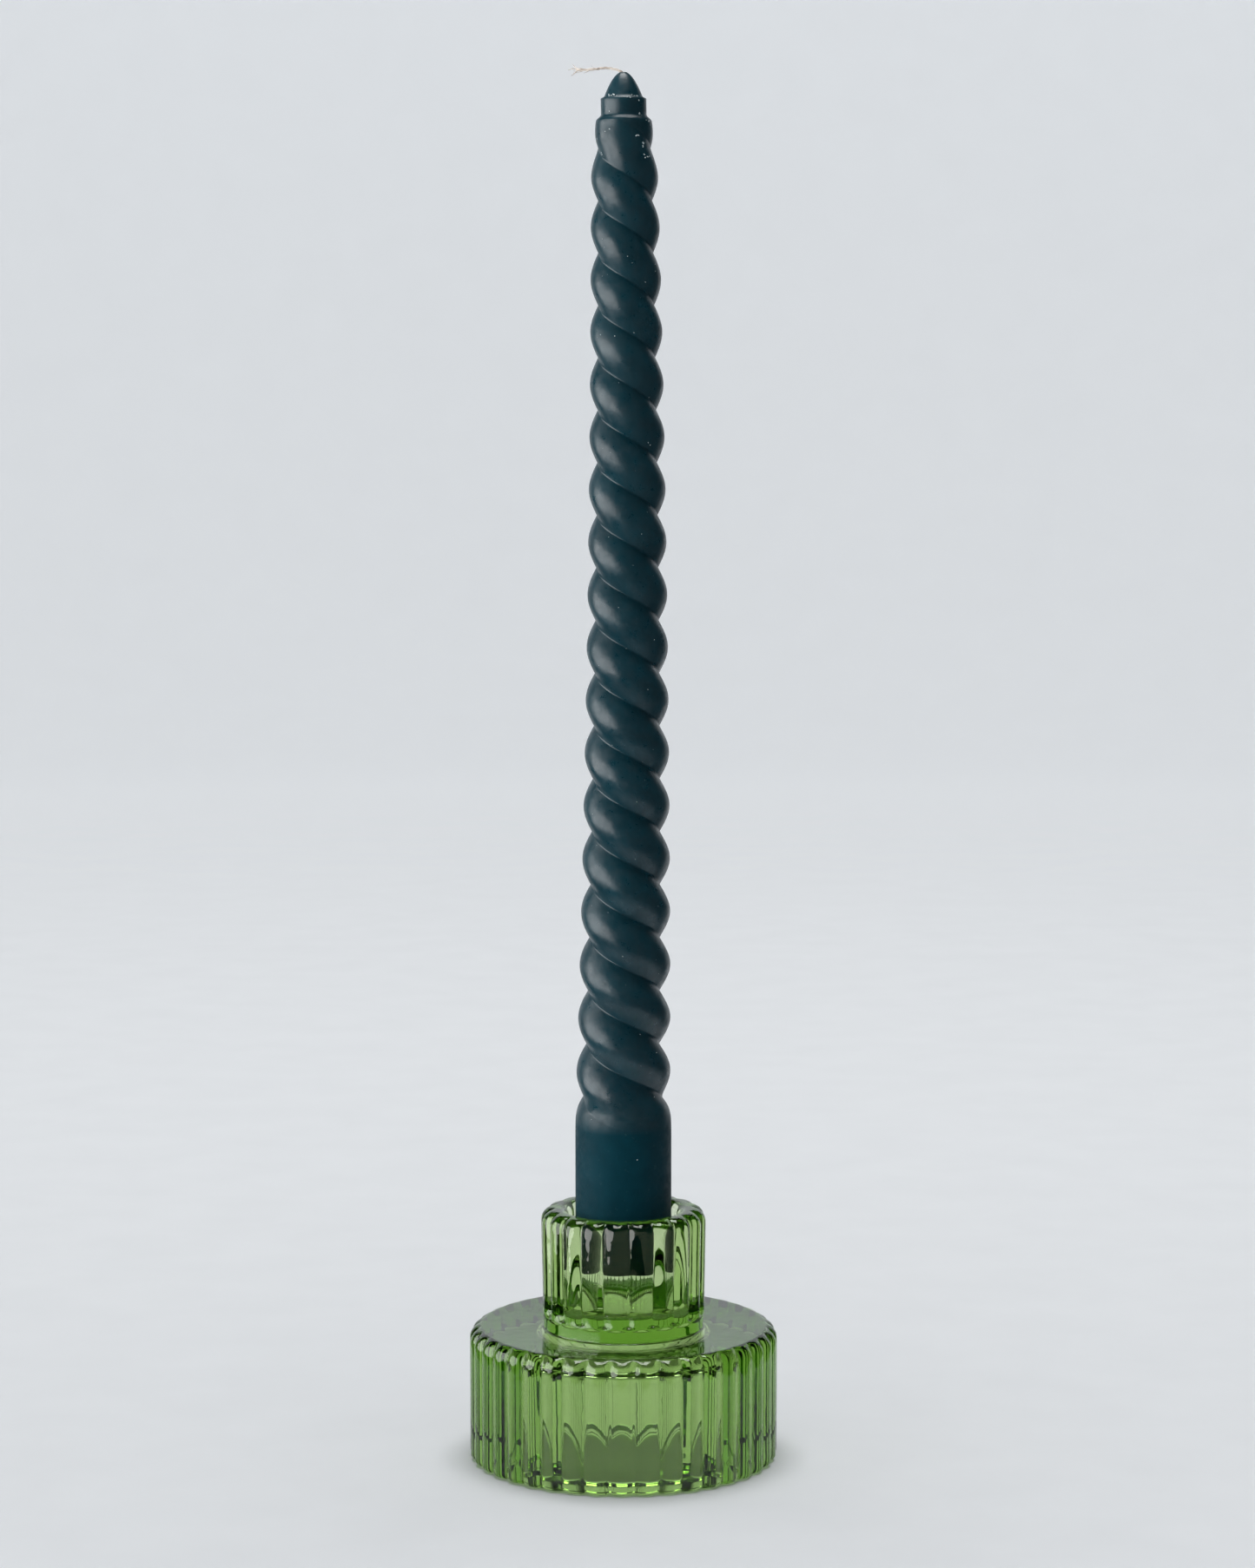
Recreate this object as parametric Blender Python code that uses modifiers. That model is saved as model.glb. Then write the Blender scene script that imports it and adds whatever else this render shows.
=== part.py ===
"""Ribbed pressed-glass candlestick holding a twisted taper candle.

A wide ribbed drum carries a narrower ribbed candle socket. Both are one
pressing. The drum is hollow underneath: turned over, the recess takes a
tea-light. The candle is a two-strand left-hand twist on a plain base, with
its wick running from the base to a bent stub above the tip.

The origin is the centre of the foot on the table, +Z is up and -Y is the front.
"""

from math import cos, pi, radians, sin, sqrt

import bmesh
import bpy
import numpy as np

MM = 0.001

# Drum of the holder.
DRUM_RADIUS = 35.4 * MM  # over the rib crests
CROWN_HEIGHT = 30.4 * MM  # the drum's top at its shoulder
TOP_HEIGHT = 30.1 * MM  # the drum's nearly flat top at the socket
SHOULDER_ROUND = 3.0 * MM
FOOT_ROUND = 1.2 * MM
DRUM_RIBS = 40
DRUM_RIB_DEPTH = 1.0 * MM

# Tea-light recess under the drum.
RECESS_MOUTH_RADIUS = 20.6 * MM
RECESS_TOP_RADIUS = 20.2 * MM
RECESS_HEIGHT = 24.6 * MM
RECESS_CORNER = 1.5 * MM
RECESS_EDGE_ROUND = 1.0 * MM

# Candle socket of the holder.
SOCKET_RADIUS = 19.0 * MM  # over the rib crests, at the rim
SOCKET_BASE_RADIUS = 18.65 * MM
SOCKET_HEIGHT = 57.7 * MM
LIP_ROUND_OUT = 2.9 * MM
LIP_ROUND_IN = 2.1 * MM
BAND_RADIUS = 18.4 * MM  # smooth band below the ribs
BAND_TOP = 33.1 * MM
BAND_FILLET = 0.4 * MM
SOCKET_RIBS = 20
SOCKET_RIB_DEPTH = 1.1 * MM

# Tapered hole that the candle wedges into.
HOLE_RIM_RADIUS = 12.7 * MM
HOLE_SEAT_RADIUS = 11.3 * MM  # at the candle's lower end
HOLE_FLOOR_HEIGHT = 34.8 * MM
HOLE_CORNER = 2.2 * MM

RIB_PHASE = radians(4)  # a valley between ribs lies at this angle from +X
HOLDER_COLUMNS = 80

# Candle.
CANDLE_BOTTOM = 44.6 * MM
CANDLE_RADIUS = 11.0 * MM
CANDLE_CHAMFER = 0.6 * MM
TWIST_PITCH = 23.8 * MM  # mean height of one whole turn of both strands
TWIST_RISE = 1.85 * MM  # how far the twist stands above an even screw, at its middle
TWIST_MIDDLE = 194.0 * MM
TWIST_HALF = 106.0 * MM
BOW = 0.92 * MM  # how far the candle bends to the right, at its middle
BOW_MIDDLE = 200.0 * MM
BOW_HALF = 112.0 * MM
SHOULDER_HEIGHT = 304.0 * MM
NECK_BOTTOM = 305.3 * MM
NECK_TOP = 309.0 * MM
NECK_RADIUS = 5.1 * MM
TIP_BOTTOM = 309.4 * MM
TIP_RADIUS = 4.25 * MM
TIP_HEIGHT = 5.5 * MM
TURNS = 10  # whole turns of the twist up to the shoulder
CANDLE_COLUMNS = 20
ROWS_PER_TURN = 10
GROOVE_PHASE = radians(87.4)  # a groove's angle from +X at the foot of the twist

# Outer radius over the strands, and how far the strands' centres stand off
# the axis, at heights in millimetres.
STRAND_HEIGHTS = (76, 90, 291, 300, 304)
STRAND_RADII = (11.0, 10.72, 7.55, 6.75, 6.25)
OFFSET_HEIGHTS = (75, 79, 84, 95, 286, 298, 304)
OFFSETS = (0.0, 0.6, 2.0, 2.35, 1.6, 1.1, 0.3)

# Wick.
WICK_RADIUS = 0.4 * MM
WICK_BORE_RADIUS = 0.75 * MM

# The wick's free stub: how far left of the candle's axis and how high above
# the tip's mouth each point of its curve lies, in millimetres.
STUB_POINTS = ((0.0, -0.6), (0.1, 0.35), (0.75, 0.95), (2.2, 1.2), (4.6, 1.2), (7.0, 0.95), (11.6, 1.0))

# The holder's and the candle's finishes.
GLASS_GREEN = (0.23, 0.42, 0.10, 1)
WAX_TEAL = (0.006, 0.035, 0.045, 1)
COTTON_CREAM = (0.62, 0.55, 0.45, 1)


def clear_scene():
    for obj in list(bpy.data.objects):
        bpy.data.objects.remove(obj, do_unlink=True)


def new_collection(name):
    collection = bpy.data.collections.new(name)
    bpy.context.scene.collection.children.link(collection)
    return collection


def material(name, colour, roughness, transmission=0.0):
    mat = bpy.data.materials.new(name)
    mat.use_nodes = True
    shader = mat.node_tree.nodes["Principled BSDF"]
    shader.inputs["Base Color"].default_value = colour
    shader.inputs["Roughness"].default_value = roughness
    shader.inputs["Metallic"].default_value = 0.0
    shader.inputs["Transmission Weight"].default_value = transmission
    return mat


def smooth_step(value, low, high):
    t = min(max((value - low) / (high - low), 0.0), 1.0)
    return t * t * (3 - 2 * t)


def arc(centre, radius, start, end, steps):
    """Points (radius, height) on an arc, its angles in degrees from the outward direction."""
    angles = [radians(start + (end - start) * i / steps) for i in range(steps + 1)]
    return [(centre[0] + radius * cos(a), centre[1] + radius * sin(a)) for a in angles]


def hole_profile():
    """The candle hole, from the middle of its floor up to the top of the lip."""
    slope = (HOLE_RIM_RADIUS - HOLE_SEAT_RADIUS) / (SOCKET_HEIGHT - LIP_ROUND_IN - CANDLE_BOTTOM)
    corner_height = HOLE_FLOOR_HEIGHT + HOLE_CORNER
    wall_radius = HOLE_SEAT_RADIUS - slope * (CANDLE_BOTTOM - corner_height)
    corner = arc((wall_radius - HOLE_CORNER, corner_height), HOLE_CORNER, -90, 0, 2)
    lip_centre = (HOLE_RIM_RADIUS + LIP_ROUND_IN, SOCKET_HEIGHT - LIP_ROUND_IN)
    return [(0.0, HOLE_FLOOR_HEIGHT)] + corner + arc(lip_centre, LIP_ROUND_IN, 180, 90, 3)


def socket_profile():
    """The socket's outside, from its lip down to the drum's top."""
    lip_centre = (SOCKET_RADIUS - LIP_ROUND_OUT, SOCKET_HEIGHT - LIP_ROUND_OUT)
    fillet_centre = (BAND_RADIUS + BAND_FILLET, TOP_HEIGHT + BAND_FILLET)
    points = arc(lip_centre, LIP_ROUND_OUT, 90, 0, 3)
    points += [(SOCKET_BASE_RADIUS, BAND_TOP + 0.6 * MM), (BAND_RADIUS, BAND_TOP)]
    return points + arc(fillet_centre, BAND_FILLET, 180, 270, 2)


def drum_profile():
    """The drum's outside, from its top over the shoulder and down to the foot."""
    shoulder_centre = (DRUM_RADIUS - SHOULDER_ROUND, CROWN_HEIGHT - SHOULDER_ROUND)
    foot_centre = (DRUM_RADIUS - FOOT_ROUND, FOOT_ROUND)
    halfway = ((BAND_RADIUS + shoulder_centre[0]) / 2, (TOP_HEIGHT + CROWN_HEIGHT) / 2)
    points = [halfway] + arc(shoulder_centre, SHOULDER_ROUND, 90, 0, 4)
    return points + arc(foot_centre, FOOT_ROUND, 0, -90, 2)


def recess_profile():
    """The tea-light recess, from the foot up to the middle of its ceiling."""
    edge_centre = (RECESS_MOUTH_RADIUS + RECESS_EDGE_ROUND, RECESS_EDGE_ROUND)
    corner_centre = (RECESS_TOP_RADIUS - RECESS_CORNER, RECESS_HEIGHT - RECESS_CORNER)
    points = arc(edge_centre, RECESS_EDGE_ROUND, 270, 180, 2)
    points += arc(corner_centre, RECESS_CORNER, 0, 90, 2)
    return points + [(0.0, RECESS_HEIGHT)]


def turned_mesh(name, profile, columns):
    """The mesh that a profile (radius, height) makes when it is turned about Z."""
    outline = bpy.data.meshes.new(name + "_outline")
    edges = [(i, i + 1) for i in range(len(profile) - 1)]
    outline.from_pydata([(r, 0.0, z) for r, z in profile], edges, [])
    blank = bpy.data.objects.new(name + "_blank", outline)
    bpy.context.scene.collection.objects.link(blank)
    screw = blank.modifiers.new("turn", "SCREW")
    screw.steps = columns
    screw.render_steps = columns
    screw.use_merge_vertices = True
    screw.merge_threshold = 0.00001
    graph = bpy.context.evaluated_depsgraph_get()
    mesh = bpy.data.meshes.new_from_object(blank.evaluated_get(graph))
    bpy.data.objects.remove(blank, do_unlink=True)
    mesh.name = name
    return mesh


def rib_cut(angle, ribs, depth):
    """How far the surface stands in from the crest circle: nothing at a crest, depth at a valley."""
    across = angle * ribs / (2 * pi) % 1.0
    return depth * (2 * across - 1) ** 2


def reed(mesh):
    """Presses the vertical ribs into the turned blank of the holder."""
    for vertex in mesh.vertices:
        x, y, z = vertex.co
        radius = sqrt(x * x + y * y)
        angle = np.arctan2(y, x)
        on_socket = z > BAND_TOP + 0.1 * MM
        if on_socket:
            start = HOLE_RIM_RADIUS + LIP_ROUND_IN
            weight = smooth_step(radius, start, SOCKET_RADIUS - LIP_ROUND_OUT + 1.0 * MM)
            cut = weight * rib_cut(angle, SOCKET_RIBS, SOCKET_RIB_DEPTH)
        else:
            weight = smooth_step(radius, DRUM_RADIUS - SHOULDER_ROUND, DRUM_RADIUS - 0.5 * MM)
            cut = weight * rib_cut(angle, DRUM_RIBS, DRUM_RIB_DEPTH)
        if cut > 0:
            vertex.co.x *= 1 - cut / radius
            vertex.co.y *= 1 - cut / radius


def make_holder(collection):
    profile = hole_profile() + socket_profile() + drum_profile() + recess_profile()
    mesh = turned_mesh("glass_holder", profile, HOLDER_COLUMNS)
    reed(mesh)
    holder = bpy.data.objects.new("glass_holder", mesh)
    holder.rotation_euler.z = RIB_PHASE
    holder.data.materials.append(material("green_glass", GLASS_GREEN, 0.03, transmission=1.0))
    collection.objects.link(holder)
    mesh.shade_smooth()
    mesh.set_sharp_from_angle(angle=radians(40))


def strand_offset(height):
    return float(np.interp(height / MM, OFFSET_HEIGHTS, OFFSETS)) * MM


def strand_radius(height):
    return float(np.interp(height / MM, STRAND_HEIGHTS, STRAND_RADII)) * MM


def twisted_section(angle, height):
    """Radius of two overlapping round strands, at an angle from the groove between them."""
    offset = strand_offset(height)
    strand = strand_radius(height) - offset
    return offset * abs(sin(angle)) + sqrt(strand**2 - (offset * cos(angle)) ** 2)


def twist_rows():
    """Heights of the rings from the foot of the twist to the shoulder."""
    rows = TURNS * ROWS_PER_TURN
    foot = SHOULDER_HEIGHT - TURNS * TWIST_PITCH
    return [foot + TWIST_PITCH * i / ROWS_PER_TURN for i in range(rows + 1)]


def twist_angle(height):
    """A groove's angle at a height: a left-handed screw, slower low down than near the top."""
    foot = twist_rows()[0]
    up = min(max(height, foot), SHOULDER_HEIGHT)
    rise = TWIST_RISE * (1 - ((up - TWIST_MIDDLE) / TWIST_HALF) ** 2)
    return GROOVE_PHASE - (up - foot - rise) * 2 * pi / TWIST_PITCH


def candle_ring(radii, height):
    """One ring of the candle's skin. Its points turn with the strands and follow the candle's bow."""
    bow = BOW * max(1 - ((height - BOW_MIDDLE) / BOW_HALF) ** 2, 0.0)
    start = twist_angle(height)
    ring = []
    for column, radius in enumerate(radii):
        angle = start + 2 * pi * column / CANDLE_COLUMNS
        ring.append((radius * cos(angle) + bow, radius * sin(angle), height))
    return ring


def twist_ring(height):
    angles = [2 * pi * column / CANDLE_COLUMNS for column in range(CANDLE_COLUMNS)]
    return candle_ring([twisted_section(angle, height) for angle in angles], height)


def round_ring(radius, height):
    return candle_ring([radius] * CANDLE_COLUMNS, height)


def candle_rings():
    """The candle's rings, up the outside from its base, over the tip and into the wick's bore."""
    rings = [round_ring(WICK_BORE_RADIUS, CANDLE_BOTTOM)]
    rings.append(round_ring(CANDLE_RADIUS - CANDLE_CHAMFER, CANDLE_BOTTOM))
    rings.append(round_ring(CANDLE_RADIUS, CANDLE_BOTTOM + CANDLE_CHAMFER))
    rings += [twist_ring(height) for height in twist_rows()]
    rings.append(round_ring(NECK_RADIUS, NECK_BOTTOM))
    rings.append(round_ring(NECK_RADIUS, NECK_TOP))
    for up in (0.0, 0.25, 0.5, 0.75, 0.9):
        rings.append(round_ring(TIP_RADIUS * sqrt(1 - up), TIP_BOTTOM + TIP_HEIGHT * up))
    rings.append(round_ring(WICK_BORE_RADIUS, bore_mouth_height()))
    return rings


def bore_mouth_height():
    """Where the wick's bore meets the tip, which is a paraboloid."""
    return TIP_BOTTOM + TIP_HEIGHT * (1 - (WICK_BORE_RADIUS / TIP_RADIUS) ** 2)


def lofted_loop(name, rings, origin):
    """A closed skin through rings of equal count, the last one joined back to the first."""
    shape = bmesh.new()
    rows = [[shape.verts.new((x, y, z - origin)) for x, y, z in ring] for ring in rings]
    for row, above in zip(rows, rows[1:] + rows[:1]):
        for i in range(len(row)):
            j = (i + 1) % len(row)
            shape.faces.new((row[i], row[j], above[j], above[i]))
    mesh = bpy.data.meshes.new(name)
    shape.to_mesh(mesh)
    shape.free()
    return mesh


def make_candle(collection):
    mesh = lofted_loop("twisted_candle", candle_rings(), CANDLE_BOTTOM)
    candle = bpy.data.objects.new("twisted_candle", mesh)
    candle.location.z = CANDLE_BOTTOM
    candle.data.materials.append(material("teal_wax", WAX_TEAL, 0.42))
    collection.objects.link(candle)
    mesh.shade_smooth()
    mesh.set_sharp_from_angle(angle=radians(40))
    return candle


def smooth_route(points, steps):
    """A Catmull-Rom curve through the points, steps to each span."""
    ends = [2 * points[0] - points[1]] + points + [2 * points[-1] - points[-2]]
    route = []
    for a, b, c, d in zip(ends, ends[1:], ends[2:], ends[3:]):
        for i in range(steps):
            t = i / steps
            bend = (2 * a - 5 * b + 4 * c - d) * t**2 + (3 * b - a - 3 * c + d) * t**3
            route.append(b + ((c - a) * t + bend) / 2)
    return route + [points[-1]]


def wick_route():
    """Straight up the bore, then over to the left in a low arch."""
    mouth = bore_mouth_height()
    stub = [np.array((-left * MM, 0.0, mouth + up * MM)) for left, up in STUB_POINTS]
    return [np.array((0.0, 0.0, CANDLE_BOTTOM))] + smooth_route(stub, 4)


def make_wick(collection, candle):
    route = wick_route()
    curve = bpy.data.curves.new("wick", "CURVE")
    curve.dimensions = "3D"
    curve.bevel_depth = WICK_RADIUS
    curve.bevel_resolution = 2
    curve.use_fill_caps = True
    spline = curve.splines.new("POLY")
    spline.points.add(len(route) - 1)
    for point, place in zip(spline.points, route):
        point.co = (place[0], place[1], place[2] - CANDLE_BOTTOM, 1.0)
    wick = bpy.data.objects.new("wick", curve)
    wick.parent = candle
    wick.data.materials.append(material("cream_cotton", COTTON_CREAM, 0.9))
    collection.objects.link(wick)


def main():
    clear_scene()
    candlestick = new_collection("glass_candlestick")
    make_holder(candlestick)
    candle = make_candle(candlestick)
    make_wick(candlestick, candle)


main()
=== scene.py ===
"""Looks of the ribbed glass candlestick: fine meshes, materials, light and camera around the CAD frame."""

from math import cos, pi, radians, sin, sqrt

import bmesh
import bpy
import numpy as np
from mathutils import Matrix, Vector


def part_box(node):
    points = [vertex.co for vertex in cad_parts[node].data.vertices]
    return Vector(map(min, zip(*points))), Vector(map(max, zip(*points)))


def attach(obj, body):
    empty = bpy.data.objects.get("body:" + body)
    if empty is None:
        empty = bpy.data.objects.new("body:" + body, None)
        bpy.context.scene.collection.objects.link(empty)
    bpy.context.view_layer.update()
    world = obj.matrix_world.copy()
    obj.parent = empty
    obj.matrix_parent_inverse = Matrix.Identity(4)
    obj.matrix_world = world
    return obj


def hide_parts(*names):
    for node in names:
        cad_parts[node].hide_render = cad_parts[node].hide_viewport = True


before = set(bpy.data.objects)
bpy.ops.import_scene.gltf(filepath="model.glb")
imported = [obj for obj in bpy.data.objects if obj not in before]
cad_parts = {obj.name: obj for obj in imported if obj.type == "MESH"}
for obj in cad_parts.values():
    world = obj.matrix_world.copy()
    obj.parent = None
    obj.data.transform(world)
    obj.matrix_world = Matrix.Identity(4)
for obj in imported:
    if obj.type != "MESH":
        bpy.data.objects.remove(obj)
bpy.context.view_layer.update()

MM = 0.001
RNG = np.random.default_rng(7)

# Where the frame's solids are.
HOLDER_HIGH = Vector(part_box("glass_holder")[1])
CANDLE_LOW, CANDLE_HIGH = (Vector(c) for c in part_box("twisted_candle"))

# Glass holder, in millimetres.
DRUM_RADIUS = 35.4
CROWN_HEIGHT = 30.4
TOP_HEIGHT = 30.1
SHOULDER_ROUND = 3.0
FOOT_ROUND = 1.2
DRUM_RIBS = 40
DRUM_RIB_DEPTH = 1.15
RECESS_MOUTH_RADIUS = 20.6
RECESS_TOP_RADIUS = 20.2
RECESS_HEIGHT = 24.6
RECESS_CORNER = 1.5
RECESS_EDGE_ROUND = 1.0
SOCKET_RADIUS = 19.0
SOCKET_BASE_RADIUS = 18.65
SOCKET_HEIGHT = HOLDER_HIGH.z / MM
LIP_ROUND_OUT = 2.9
LIP_ROUND_IN = 2.1
BAND_RADIUS = 18.4
BAND_TOP = 33.1
BAND_FILLET = 0.4
SOCKET_RIBS = 20
SOCKET_RIB_DEPTH = 1.2
HOLE_RIM_RADIUS = 12.7
HOLE_SEAT_RADIUS = 11.3
HOLE_FLOOR_HEIGHT = 34.8
HOLE_CORNER = 2.2
RIB_PHASE = radians(4)
HOLDER_COLUMNS = 480
GLASS_SWELL = 0.04

# Candle, in millimetres.
CANDLE_BOTTOM = CANDLE_LOW.z / MM
CANDLE_TOP = CANDLE_HIGH.z / MM
CANDLE_RADIUS = 11.0
CANDLE_ROUND = 0.6
TWIST_PITCH = 23.8
TWIST_RISE = 1.85
TWIST_MIDDLE = 194.0
TWIST_HALF = 106.0
BOW = 0.92
BOW_MIDDLE = 200.0
BOW_HALF = 112.0
SHOULDER_HEIGHT = 304.0
NECK_BOTTOM = 305.3
NECK_TOP = 309.0
NECK_RADIUS = 5.1
TIP_BOTTOM = 309.4
TIP_RADIUS = 4.25
TIP_HEIGHT = 5.5
TURNS = 10
CANDLE_COLUMNS = 96
GROOVE_PHASE = radians(87.4)
STRAND_HEIGHTS = (76, 90, 291, 300, 304)
STRAND_RADII = (11.0, 10.72, 7.55, 6.75, 6.25)
OFFSET_HEIGHTS = (75, 79, 84, 95, 286, 298, 304)
OFFSETS = (0.0, 0.6, 2.0, 2.35, 1.6, 1.1, 0.3)
WICK_BORE_RADIUS = 0.75

# Wick, in millimetres from the candle's top: to the right, and up.
WICK_ROUTE = ((0, -4), (0, -2), (0, -0.5), (-0.9, 0.35), (-2.3, 0.72), (-3.5, 0.9), (-4.6, 0.9),
              (-5.8, 0.72), (-7.0, 0.6), (-8.2, 0.54), (-9.0, 0.5))
WICK_ENDS = (((-10.1, 1.0), (-11.3, 1.65)), ((-10.4, 0.5), (-12.3, 0.55)), ((-10.2, 0.1), (-11.7, -0.55)))
STRAND_RADIUS = 0.16
STRAND_OFFSET = 0.15
STRAND_PITCH = 3.6
FIBRE_RADIUS = 0.04
FIBRES = 12

# Chipped wax: azimuth from the front in degrees (left is negative), height in millimetres, length, count.
CHIPS = ((-46, 309.3, 0.9, 4), (-24, 309.3, 0.8, 4), (16, 309.3, 0.9, 4), (38, 309.3, 1.0, 4),
         (-42, 305.2, 0.9, 5), (44, 304.9, 1.0, 6), (62, 304.3, 1.0, 5), (33, 300.4, 0.9, 3),
         (40, 298.4, 1.1, 4), (46, 296.0, 1.0, 4), (-33, 301.8, 0.8, 2), (-52, 296.6, 0.8, 3))
CHIP_SPREAD = (5, 0.35)  # degrees and millimetres
SPECKS = 150
SPECKS_FOOT = CANDLE_BOTTOM + 16
SPECKS_REACH = 240

# Stage, in metres.
WALL_RADIUS = 2.2
WALL_CURVE = 0.6
WALL_HEIGHT = 1.4
GLOW_REACH = (0.12, 1.45)
GLOW = 0.26
FLOOR_RADIUS = 0.13
PAPER_LEVEL = -0.0003
BACK_SECTOR = (42, 138)  # degrees, 90 is straight behind

# Light and camera, in metres and watts.
LIGHTS_AIM = (0, 0, 0.15)
OVERHEAD_PLACE = (0.0, 0.1, 1.7)
OVERHEAD_SIZE = (1.0, 1.0)
OVERHEAD_WATTS = 22.5
OVERHEAD_SHINE = 0.4
LEFT_PLACE = (-0.85, -0.31, 0.25)
LEFT_SIZE = (1.3, 0.9)
LEFT_WATTS = 16
ROOM_DARK = (0.01, 0.011, 0.012, 1)
CAMERA_PLACE = (0.00095, -0.8615, 0.2466)
CAMERA_DOWN = radians(6.04)
CAMERA_LENS = 87.65
CAMERA_SENSOR = 36


# ---------------------------------------------------------------- mesh helpers


def smooth_step(value, low, high):
    t = np.clip((value - low) / (high - low), 0.0, 1.0)
    return t * t * (3 - 2 * t)


def arc(centre, radius, start, end, steps):
    """Points (radius, height) on an arc, its angles in degrees from the outward direction."""
    angles = np.radians(np.linspace(start, end, steps + 1))
    return [(centre[0] + radius * cos(a), centre[1] + radius * sin(a)) for a in angles]


def refined(points, longest):
    """The same outline with no span longer than this."""
    fine = [points[0]]
    for (r0, z0), (r1, z1) in zip(points, points[1:]):
        parts = max(1, int(np.ceil(np.hypot(r1 - r0, z1 - z0) / longest)))
        fine += [(r0 + (r1 - r0) * i / parts, z0 + (z1 - z0) * i / parts) for i in range(1, parts + 1)]
    return np.array(fine)


def skin(name, rings, loop):
    """A smooth skin through rings (rows, columns, 3) in millimetres. A loop's last ring joins its first;
    otherwise both end rings close to a point."""
    rows, columns, _ = rings.shape
    points = rings.reshape(-1, 3) * MM
    index = np.arange(rows * columns).reshape(rows, columns)
    below = index if loop else index[:-1]
    above = np.roll(index, -1, axis=0) if loop else index[1:]
    quads = np.stack([below, np.roll(below, -1, 1), np.roll(above, -1, 1), above], axis=-1).reshape(-1, 4)
    faces = quads.tolist()
    if not loop:
        points = np.vstack([points, points[index[0]].mean(axis=0), points[index[-1]].mean(axis=0)])
        first, last = len(points) - 2, len(points) - 1
        faces += [(first, int(b), int(a)) for a, b in zip(index[0], np.roll(index[0], -1))]
        faces += [(last, int(a), int(b)) for a, b in zip(index[-1], np.roll(index[-1], -1))]
    mesh = bpy.data.meshes.new(name)
    mesh.from_pydata(points.tolist(), [], faces)
    mesh.shade_smooth()
    return add_object(name, mesh)


def add_object(name, data):
    obj = bpy.data.objects.new(name, data)
    bpy.context.scene.collection.objects.link(obj)
    return obj


def gentle_waves(angle, height, size, waves=9):
    """Slow uneven swells over a round surface, as on fire-polished glass or dipped wax."""
    total = np.zeros(np.broadcast(angle, height).shape)
    for _ in range(waves):
        around = RNG.integers(1, 9)
        up = RNG.uniform(-0.25, 0.25)
        total += np.sin(around * angle + up * height + RNG.uniform(0, 2 * pi)) / waves
    return size * total


# ---------------------------------------------------------------- glass holder


def hole_profile():
    slope = (HOLE_RIM_RADIUS - HOLE_SEAT_RADIUS) / (SOCKET_HEIGHT - LIP_ROUND_IN - CANDLE_BOTTOM)
    corner_height = HOLE_FLOOR_HEIGHT + HOLE_CORNER
    wall_radius = HOLE_SEAT_RADIUS - slope * (CANDLE_BOTTOM - corner_height)
    corner = arc((wall_radius - HOLE_CORNER, corner_height), HOLE_CORNER, -90, 0, 8)
    lip_centre = (HOLE_RIM_RADIUS + LIP_ROUND_IN, SOCKET_HEIGHT - LIP_ROUND_IN)
    return [(0.5, HOLE_FLOOR_HEIGHT)] + corner + arc(lip_centre, LIP_ROUND_IN, 180, 90, 8)


def socket_profile():
    lip_centre = (SOCKET_RADIUS - LIP_ROUND_OUT, SOCKET_HEIGHT - LIP_ROUND_OUT)
    fillet_centre = (BAND_RADIUS + BAND_FILLET, TOP_HEIGHT + BAND_FILLET)
    points = arc(lip_centre, LIP_ROUND_OUT, 90, 0, 12)
    points += [(SOCKET_BASE_RADIUS, BAND_TOP + h) for h in (1.2, 0.9, 0.6, 0.3)]
    return points + [(BAND_RADIUS, BAND_TOP)] + arc(fillet_centre, BAND_FILLET, 180, 270, 6)


def drum_profile():
    crown_radius = DRUM_RADIUS - SHOULDER_ROUND
    foot_centre = (DRUM_RADIUS - FOOT_ROUND, FOOT_ROUND)
    halfway = ((BAND_RADIUS + BAND_FILLET + crown_radius) / 2, (TOP_HEIGHT + CROWN_HEIGHT) / 2)
    points = [halfway] + arc((crown_radius, CROWN_HEIGHT - SHOULDER_ROUND), SHOULDER_ROUND, 90, 0, 16)
    return points + arc(foot_centre, FOOT_ROUND, 0, -90, 8)


def recess_profile():
    edge_centre = (RECESS_MOUTH_RADIUS + RECESS_EDGE_ROUND, RECESS_EDGE_ROUND)
    corner_centre = (RECESS_TOP_RADIUS - RECESS_CORNER, RECESS_HEIGHT - RECESS_CORNER)
    points = arc(edge_centre, RECESS_EDGE_ROUND, 270, 180, 6)
    points += arc(corner_centre, RECESS_CORNER, 0, 90, 8)
    return points + [(0.5, RECESS_HEIGHT)]


def rib_cut(angle, ribs, depth):
    """How far the surface stands in from the crest circle, with the valleys softened by fire-polishing."""
    soft = 0.94
    across = np.abs(2 * ((angle * ribs / (2 * pi)) % 1.0) - 1)
    return depth * (across**2 - np.maximum(across - soft, 0) ** 2 / (1 - soft))


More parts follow.
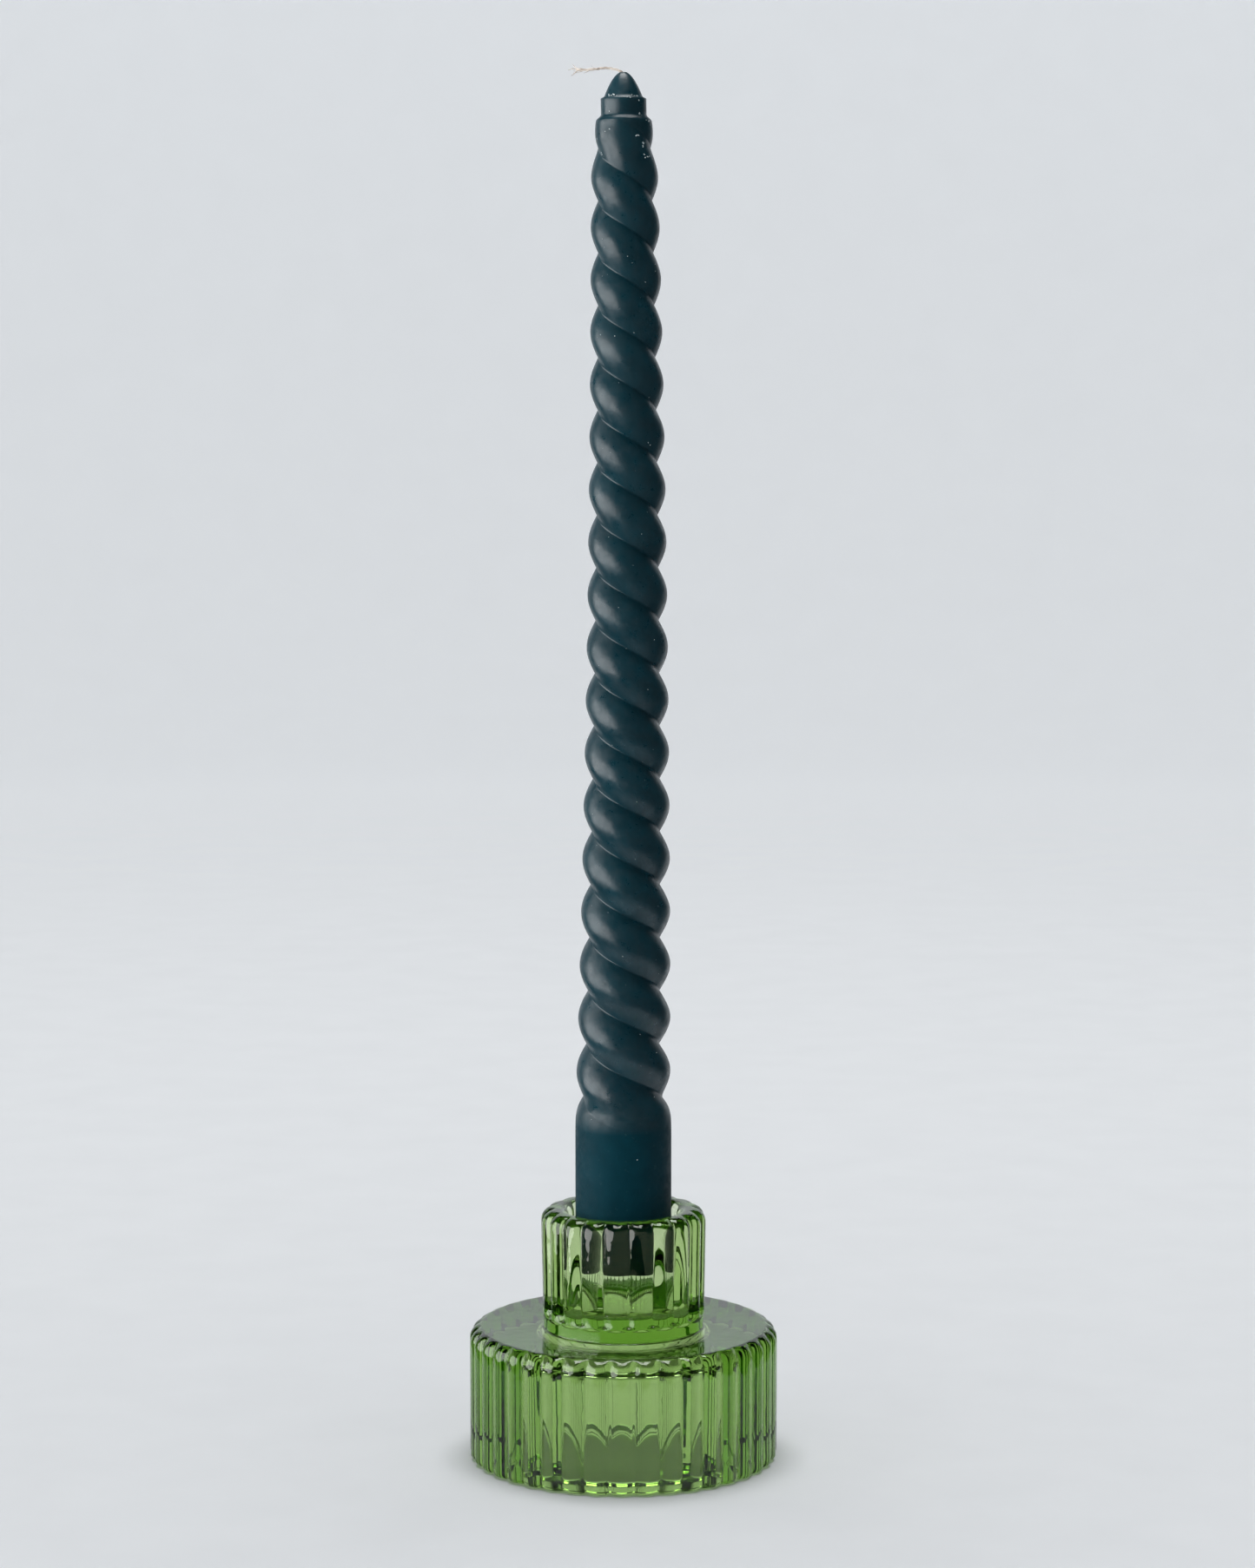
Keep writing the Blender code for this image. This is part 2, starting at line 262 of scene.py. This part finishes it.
def make_holder(glass):
    profile = refined(hole_profile() + socket_profile() + drum_profile() + recess_profile(), 1.0)
    radius, height = profile[:, :1], profile[:, 1:]
    angle = np.linspace(0, 2 * pi, HOLDER_COLUMNS, endpoint=False)[None, :]
    on_socket = height > BAND_TOP - 0.1
    lip_start = HOLE_RIM_RADIUS + LIP_ROUND_IN
    socket_weight = on_socket * smooth_step(radius, lip_start, SOCKET_RADIUS - LIP_ROUND_OUT + 1.0)
    socket_weight = socket_weight * smooth_step(height, BAND_TOP, BAND_TOP + 1.2)
    drum_weight = ~on_socket * smooth_step(radius, DRUM_RADIUS - SHOULDER_ROUND, DRUM_RADIUS - 0.5)
    cut = socket_weight * rib_cut(angle, SOCKET_RIBS, SOCKET_RIB_DEPTH)
    cut = cut + drum_weight * rib_cut(angle, DRUM_RIBS, DRUM_RIB_DEPTH)
    swell = gentle_waves(angle, height, GLASS_SWELL)
    reach = np.maximum(radius - cut - GLASS_SWELL + swell * smooth_step(radius, 5, 9), 0.01)
    turned = angle + RIB_PHASE
    rings = np.stack([reach * np.cos(turned), reach * np.sin(turned), height + 0 * angle], axis=-1)
    holder = skin("ribbed_glass", rings[::-1], loop=False)
    holder.data.materials.append(glass)
    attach(holder, "holder")
    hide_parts("glass_holder")


# ---------------------------------------------------------------- candle


def strand_shape(height):
    offset = np.interp(height, OFFSET_HEIGHTS, OFFSETS)
    strand = np.interp(height, STRAND_HEIGHTS, STRAND_RADII) - offset
    return offset, strand


def twisted_section(angle, height):
    """Radius of two overlapping round strands, at an angle from the groove between them."""
    offset, strand = strand_shape(height)
    return offset * np.abs(np.sin(angle)) + np.sqrt(strand**2 - (offset * np.cos(angle)) ** 2)


def twist_angle(height):
    """Turn of the two strands: a left-handed screw, a little slower low down than near the top."""
    rise = TWIST_RISE * (1 - ((height - TWIST_MIDDLE) / TWIST_HALF) ** 2)
    up = np.clip(height - (SHOULDER_HEIGHT - TURNS * TWIST_PITCH), 0, TURNS * TWIST_PITCH)
    return (rise - up) * 2 * pi / TWIST_PITCH


def bow(height):
    """How far the candle's axis stands to the right at a height."""
    return BOW * np.maximum(1 - ((height - BOW_MIDDLE) / BOW_HALF) ** 2, 0)


def candle_outline():
    """Rows (radius, height) up the outside: plain base, twist, neck and tip."""
    foot = SHOULDER_HEIGHT - TURNS * TWIST_PITCH
    base = arc((CANDLE_RADIUS - CANDLE_ROUND, CANDLE_BOTTOM + CANDLE_ROUND), CANDLE_ROUND, -90, 0, 4)
    rows = [(WICK_BORE_RADIUS, CANDLE_BOTTOM), (6.0, CANDLE_BOTTOM)] + base
    rows += [(CANDLE_RADIUS, h) for h in np.arange(CANDLE_BOTTOM + 2, foot, 1.0)]
    rows += [(None, h) for h in np.linspace(foot, SHOULDER_HEIGHT, TURNS * 48 + 1)]
    rows += [(6.0, SHOULDER_HEIGHT + 0.35), (5.6, SHOULDER_HEIGHT + 0.7), (5.25, NECK_BOTTOM - 0.3)]
    rows += [(NECK_RADIUS, h) for h in np.linspace(NECK_BOTTOM, NECK_TOP - 0.15, 6)]
    rows += [(NECK_RADIUS - 0.12, NECK_TOP), (4.6, NECK_TOP + 0.12)]
    for up in np.linspace(0.0, 0.95, 14):
        rows.append((TIP_RADIUS * sqrt(1 - up), TIP_BOTTOM + TIP_HEIGHT * up))
    return rows + [(WICK_BORE_RADIUS, CANDLE_TOP)]


def make_candle(wax):
    rows = candle_outline()
    height = np.array([z for _, z in rows])[:, None]
    plain = np.array([r if r is not None else np.nan for r, _ in rows])[:, None]
    around = np.linspace(0, 2 * pi, CANDLE_COLUMNS, endpoint=False)[None, :]
    radius = np.where(np.isnan(plain), twisted_section(around, height), plain)
    angle = GROOVE_PHASE + around + twist_angle(height)
    across = radius * np.cos(angle) + bow(height)
    rings = np.stack([across, radius * np.sin(angle), height + 0 * angle], axis=-1)
    candle = skin("twisted_wax", rings, loop=True)
    candle.data.materials.append(wax)
    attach(candle, "candle")
    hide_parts("twisted_candle")


def wax_radius(azimuth, height):
    """How far the wax reaches from its axis at an azimuth from the front, in degrees."""
    if height > NECK_TOP:
        return TIP_RADIUS + 0.15
    if height > SHOULDER_HEIGHT:
        return NECK_RADIUS
    around = radians(azimuth - 90) - GROOVE_PHASE - twist_angle(height)
    return float(twisted_section(around, height))


def add_flake(shape, azimuth, height, length):
    """A thin bent crumb, sunk a little into the wax."""
    flake = bmesh.ops.create_icosphere(shape, subdivisions=1, radius=0.5)["verts"]
    width = length * RNG.uniform(0.5, 1.0)
    thickness = 0.5 * length * RNG.uniform(0.4, 0.8)
    rise = length * RNG.uniform(0.3, 0.8)
    turn = Matrix.Rotation(RNG.uniform(-0.7, 0.7), 4, "Y")
    out = wax_radius(azimuth, height) + 0.02 * length
    axis = Matrix.Translation(Vector((bow(height), 0, height)))
    face = Matrix.Rotation(radians(azimuth), 4, "Z")
    place = axis @ face @ Matrix.Translation(Vector((0, -out, 0))) @ turn
    for vert in flake:
        jitter = Vector(RNG.uniform(0.7, 1.25, 3))
        vert.co = place @ (vert.co * jitter * Vector((width, thickness, rise))) * MM


def make_chips(pale_wax):
    """Crumbs round the tip and neck, and small specks all over."""
    shape = bmesh.new()
    for azimuth, height, length, count in CHIPS:
        for _ in range(count):
            spread = RNG.normal(0, 1, 2)
            across = azimuth + CHIP_SPREAD[0] * spread[0]
            up = height + CHIP_SPREAD[1] * spread[1]
            add_flake(shape, across, up, length * RNG.uniform(0.4, 0.9))
    for _ in range(SPECKS):
        up = RNG.uniform(0, 1) ** 0.8
        add_flake(shape, RNG.uniform(-180, 180), SPECKS_FOOT + SPECKS_REACH * up, RNG.uniform(0.15, 0.4))
    mesh = bpy.data.meshes.new("wax_chips")
    shape.to_mesh(mesh)
    shape.free()
    chips = add_object("wax_chips", mesh)
    chips.data.materials.append(pale_wax)
    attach(chips, "candle")


# ---------------------------------------------------------------- wick


def smooth_route(points, steps=10):
    """A Catmull-Rom curve through points of a plane."""
    pts = np.array(points, dtype=float)
    pts = np.vstack([2 * pts[0] - pts[1], pts, 2 * pts[-1] - pts[-2]])
    curve = []
    for a, b, c, d in zip(pts, pts[1:], pts[2:], pts[3:]):
        for t in np.linspace(0, 1, steps, endpoint=False):
            curve.append(0.5 * (2 * b + (c - a) * t + (2 * a - 5 * b + 4 * c - d) * t**2
                                + (3 * b - a - 3 * c + d) * t**3))
    return np.array(curve + [pts[-2]])


def add_thread(curve, points, thickness):
    """A round thread through points (x, y, z) in millimetres, thinner towards its free end."""
    spline = curve.splines.new("POLY")
    spline.points.add(len(points) - 1)
    for i, (point, place) in enumerate(zip(spline.points, points)):
        point.co = (*(np.array(place) * MM), 1)
        point.radius = thickness * (1 - 0.6 * max(0, i / len(points) - 0.85) / 0.15)
    spline.use_smooth = True


def make_wick(cotton):
    """Three strands laid together, which come apart at the end, with loose fibres."""
    curve = bpy.data.curves.new("cotton_wick", "CURVE")
    curve.dimensions = "3D"
    curve.bevel_depth = STRAND_RADIUS * MM
    curve.bevel_resolution = 3
    curve.use_fill_caps = True
    shared = len(smooth_route(WICK_ROUTE))
    for strand, end in enumerate(WICK_ENDS):
        route = smooth_route(WICK_ROUTE + end)
        along = np.concatenate([[0], np.cumsum(np.hypot(*np.diff(route, axis=0).T))])
        direction = np.gradient(route, axis=0)
        direction /= np.hypot(*direction.T)[:, None]
        turn = 2 * pi * (along / STRAND_PITCH + strand / len(WICK_ENDS))
        offset = STRAND_OFFSET * (1 + 0.6 * np.clip((np.arange(len(route)) - shared) / 10, 0, 1))
        across = offset * np.cos(turn)
        x = route[:, 0] - direction[:, 1] * across
        y = offset * np.sin(turn)
        z = CANDLE_TOP + route[:, 1] + direction[:, 0] * across
        add_thread(curve, np.stack([x, y, z], axis=-1), 1.0)
    for _ in range(FIBRES):
        start = smooth_route(WICK_ROUTE)[-RNG.integers(2, 34)]
        drift = RNG.uniform((-3.2, -0.9, -0.9), (-1.4, 0.9, 1.1))
        middle = drift * 0.5 + RNG.uniform(-0.35, 0.35, 3)
        root = np.array((start[0], 0, CANDLE_TOP + start[1]))
        bend = [root + 2 * t * (1 - t) * middle + t * t * drift for t in np.linspace(0, 1, 8)]
        add_thread(curve, bend, FIBRE_RADIUS / STRAND_RADIUS)
    wick = add_object("cotton_wick", curve)
    wick.data.materials.append(cotton)
    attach(wick, "candle")
    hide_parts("wick")


# ---------------------------------------------------------------- materials


def node_material(name):
    mat = bpy.data.materials.new(name)
    mat.use_nodes = True
    return mat, mat.node_tree, mat.node_tree.nodes["Principled BSDF"]


def add_node(tree, kind, **settings):
    """A shader node with these properties, or these values on its input sockets."""
    node = tree.nodes.new(kind)
    for name, value in settings.items():
        if hasattr(node, name):
            setattr(node, name, value)
        else:
            node.inputs[name.replace("_", " ")].default_value = value
    return node


def noise(tree, scale, detail=3.0, roughness=0.5):
    """Noise over the surface, its scale in features per metre."""
    node = add_node(tree, "ShaderNodeTexNoise", Scale=scale, Detail=detail, Roughness=roughness)
    coordinates = add_node(tree, "ShaderNodeTexCoord")
    tree.links.new(coordinates.outputs["Object"], node.inputs["Vector"])
    return node.outputs["Fac"]


def remap(tree, value, low, high, to_low, to_high):
    node = add_node(tree, "ShaderNodeMapRange", From_Min=low, From_Max=high, To_Min=to_low, To_Max=to_high)
    tree.links.new(value, node.inputs["Value"])
    return node.outputs["Result"]


def mix_colour(tree, factor, first, second):
    """A blend of two colours; either can be a socket."""
    node = tree.nodes.new("ShaderNodeMix")
    node.data_type = "RGBA"
    tree.links.new(factor, node.inputs["Factor"])
    for socket, colour in zip((node.inputs[6], node.inputs[7]), (first, second)):
        if isinstance(colour, tuple):
            socket.default_value = (*colour, 1)
        else:
            tree.links.new(colour, socket)
    return node.outputs[2]


def add_bump(tree, shader, layers):
    """Fine relief from layers of (height, strength, depth in metres)."""
    normal = None
    for height, strength, depth in layers:
        node = add_node(tree, "ShaderNodeBump", Strength=strength, Distance=depth)
        tree.links.new(height, node.inputs["Height"])
        if normal:
            tree.links.new(normal, node.inputs["Normal"])
        normal = node.outputs["Normal"]
    tree.links.new(normal, shader.inputs["Normal"])


def object_height(tree):
    coordinates = add_node(tree, "ShaderNodeTexCoord")
    split = add_node(tree, "ShaderNodeSeparateXYZ")
    tree.links.new(coordinates.outputs["Object"], split.inputs["Vector"])
    return split.outputs["Z"]


def axis_distance(tree):
    coordinates = add_node(tree, "ShaderNodeTexCoord")
    flat = add_node(tree, "ShaderNodeVectorMath", operation="MULTIPLY")
    flat.inputs[1].default_value = (1, 1, 0)
    length = add_node(tree, "ShaderNodeVectorMath", operation="LENGTH")
    tree.links.new(coordinates.outputs["Object"], flat.inputs[0])
    tree.links.new(flat.outputs["Vector"], length.inputs[0])
    return length.outputs["Value"]


def glass_material():
    """Clear pressed glass, tinted in its depth, with the faint orange-peel of the mould."""
    mat, tree, shader = node_material("pressed_green_glass")
    shader.inputs["Base Color"].default_value = (1, 1, 1, 1)
    shader.inputs["IOR"].default_value = 1.52
    shader.inputs["Transmission Weight"].default_value = 1.0
    tree.links.new(remap(tree, noise(tree, 60), 0.55, 0.8, 0.0, 0.04), shader.inputs["Roughness"])
    add_bump(tree, shader, [(noise(tree, 260, detail=1.0), 0.12, 0.0003)])
    tint = add_node(tree, "ShaderNodeVolumeAbsorption")
    tint.inputs["Color"].default_value = (0.497, 0.733, 0.1, 1)
    tint.inputs["Density"].default_value = 68
    tree.links.new(tint.outputs["Volume"], tree.nodes["Material Output"].inputs["Volume"])
    return mat


def wax_material():
    """Dark teal wax: matt where it was moulded plain, with a soft gloss and fine scuffs on the twist."""
    mat, tree, shader = node_material("dipped_teal_wax")
    shader.inputs["Specular IOR Level"].default_value = 0.6
    shader.inputs["IOR"].default_value = 1.45
    mottle = remap(tree, noise(tree, 140, 5.0, 0.6), 0.3, 0.7, 0.0, 1.0)
    colour = mix_colour(tree, mottle, (0.0014, 0.022, 0.032), (0.0024, 0.031, 0.044))
    bloom = remap(tree, noise(tree, 900, 4.0, 0.65), 0.62, 0.78, 0.0, 0.5)
    colour = mix_colour(tree, bloom, colour, (0.030, 0.062, 0.072))
    tree.links.new(colour, shader.inputs["Base Color"])
    gloss = remap(tree, object_height(tree), 0.0765, 0.0805, 0.6, 0.33)
    scuffs = remap(tree, noise(tree, 420, 6.0, 0.7), 0.3, 0.7, -0.10, 0.16)
    total = add_node(tree, "ShaderNodeMath", operation="ADD")
    tree.links.new(gloss, total.inputs[0])
    tree.links.new(scuffs, total.inputs[1])
    tree.links.new(total.outputs[0], shader.inputs["Roughness"])
    shine = remap(tree, object_height(tree), 0.0765, 0.0805, 0.04, 1.0)
    shine_colour = mix_colour(tree, shine, (0, 0, 0), (1, 1, 1))
    tree.links.new(shine_colour, shader.inputs["Specular Tint"])
    add_bump(tree, shader, [(noise(tree, 110, 2.0), 0.35, 0.0008), (noise(tree, 420, 4.0), 0.3, 0.0002),
                            (noise(tree, 1300, 3.0, 0.5), 0.2, 0.0001)])
    return mat


def chip_material():
    """Whitish broken wax."""
    mat, tree, shader = node_material("broken_wax")
    crumb = remap(tree, noise(tree, 700, 3.0), 0.35, 0.65, 0.0, 1.0)
    colour = mix_colour(tree, crumb, (0.18, 0.24, 0.25), (0.55, 0.60, 0.60))
    tree.links.new(colour, shader.inputs["Base Color"])
    shader.inputs["Roughness"].default_value = 0.7
    add_bump(tree, shader, [(noise(tree, 3000), 0.4, 0.0001)])
    return mat


def cotton_material():
    """Cream cotton, painted greyer between its fibres as the shade that falls there."""
    mat, tree, shader = node_material("braided_cotton")
    fibres = add_node(tree, "ShaderNodeTexNoise", Scale=2600.0, Detail=4.0)
    stretch = add_node(tree, "ShaderNodeMapping")
    stretch.inputs["Scale"].default_value = (0.25, 1, 1)
    coordinates = add_node(tree, "ShaderNodeTexCoord")
    tree.links.new(coordinates.outputs["Object"], stretch.inputs["Vector"])
    tree.links.new(stretch.outputs["Vector"], fibres.inputs["Vector"])
    # Painted shade: the darker of the two cotton tones paints the shade between the fibres.
    shade = remap(tree, fibres.outputs["Fac"], 0.35, 0.62, 0.0, 1.0)
    colour = mix_colour(tree, shade, (0.40, 0.33, 0.28), (0.82, 0.74, 0.66))
    tree.links.new(colour, shader.inputs["Base Color"])
    shader.inputs["Roughness"].default_value = 0.9
    shader.inputs["Sheen Weight"].default_value = 0.3
    add_bump(tree, shader, [(fibres.outputs["Fac"], 0.6, 0.0001)])
    return mat


def stage_material():
    """Pale paper, lit evenly out to its wall: what the lamps lose with distance, a weak glow gives back."""
    mat, tree, shader = node_material("pale_paper")
    grain = remap(tree, noise(tree, 40, 4.0), 0.3, 0.7, 0.0, 1.0)
    colour = mix_colour(tree, grain, (0.77, 0.79, 0.81), (0.79, 0.81, 0.83))
    tree.links.new(colour, shader.inputs["Base Color"])
    shader.inputs["Roughness"].default_value = 1.0
    shader.inputs["Specular IOR Level"].default_value = 0.0
    shader.inputs["Emission Color"].default_value = (0.94, 0.96, 0.98, 1)
    glow = remap(tree, axis_distance(tree), *GLOW_REACH, 0.0, GLOW)
    tree.links.new(glow, shader.inputs["Emission Strength"])
    return mat


# ---------------------------------------------------------------- stage, light and camera


def paper_piece(name, material, profile, first, last):
    """Part of the sweep: its profile (radius, height) through these azimuths in degrees (90 is behind).
    Every piece has a column each 4 degrees, so that their edges meet."""
    angles = np.radians(np.linspace(first, last, int(last - first) // 4 + 1))
    shape = bmesh.new()
    columns = [[shape.verts.new((r * cos(a), r * sin(a), z)) for r, z in profile] for a in angles]
    for left, right in zip(columns, columns[1:]):
        for low in range(len(profile) - 1):
            shape.faces.new((left[low], left[low + 1], right[low + 1], right[low]))
    bmesh.ops.remove_doubles(shape, verts=shape.verts, dist=1e-6)
    mesh = bpy.data.meshes.new(name)
    shape.to_mesh(mesh)
    shape.free()
    mesh.shade_smooth()
    piece = add_object(name, mesh)
    piece.data.materials.append(material)
    return piece


def make_stage():
    """A paper floor that turns up into a wall all round. The part on the camera's side shows as a
    background only: glass and wax don't mirror it, as if the room were dark there."""
    paper = stage_material()
    wall = [(FLOOR_RADIUS, PAPER_LEVEL), (WALL_RADIUS - WALL_CURVE, PAPER_LEVEL)]
    for a in np.radians(np.linspace(6, 90, 15)):
        wall.append((WALL_RADIUS - WALL_CURVE * (1 - sin(a)), PAPER_LEVEL + WALL_CURVE * (1 - cos(a))))
    wall.append((WALL_RADIUS, WALL_HEIGHT))
    paper_piece("paper_floor", paper, [(0, PAPER_LEVEL), (FLOOR_RADIUS, PAPER_LEVEL)],
                BACK_SECTOR[0], BACK_SECTOR[0] + 360)
    paper_piece("paper_back", paper, wall, *BACK_SECTOR)
    front = paper_piece("paper_front", paper, wall, BACK_SECTOR[1], BACK_SECTOR[0] + 360)
    front.visible_glossy = False
    front.visible_transmission = False


def soft_box(name, place, size, watts):
    light = bpy.data.lights.new(name, "AREA")
    light.shape = "RECTANGLE"
    light.size, light.size_y = size
    light.energy = watts
    obj = add_object(name, light)
    obj.location = place
    obj.rotation_euler = (Vector(LIGHTS_AIM) - Vector(place)).to_track_quat("-Z", "Y").to_euler()
    obj.visible_camera = False
    return obj


def make_lights():
    """An overhead light, and one at the left that lights only the object, so the paper stays even."""
    overhead = soft_box("overhead", OVERHEAD_PLACE, OVERHEAD_SIZE, OVERHEAD_WATTS)
    overhead.data.specular_factor = OVERHEAD_SHINE
    left = soft_box("left", LEFT_PLACE, LEFT_SIZE, LEFT_WATTS)
    left.visible_transmission = False
    lit = bpy.data.collections.new("lit_from_the_left")
    for name in ("ribbed_glass", "twisted_wax", "wax_chips", "cotton_wick"):
        lit.objects.link(bpy.data.objects[name])
    left.light_linking.receiver_collection = lit
    world = bpy.data.worlds.new("room")
    bpy.context.scene.world = world
    world.use_nodes = True
    world.node_tree.nodes["Background"].inputs["Color"].default_value = ROOM_DARK


def make_camera():
    camera = bpy.data.cameras.new("camera")
    camera.sensor_width = CAMERA_SENSOR
    camera.lens = CAMERA_LENS
    camera.clip_start = 0.01
    obj = add_object("camera", camera)
    obj.location = CAMERA_PLACE
    obj.rotation_euler = (pi / 2 - CAMERA_DOWN, 0, 0)
    bpy.context.scene.camera = obj
    bpy.context.scene.view_settings.view_transform = "Standard"


# ---------------------------------------------------------------- assembly


make_camera()
make_holder(glass_material())
make_candle(wax_material())
make_chips(chip_material())
make_wick(cotton_material())
make_stage()
make_lights()
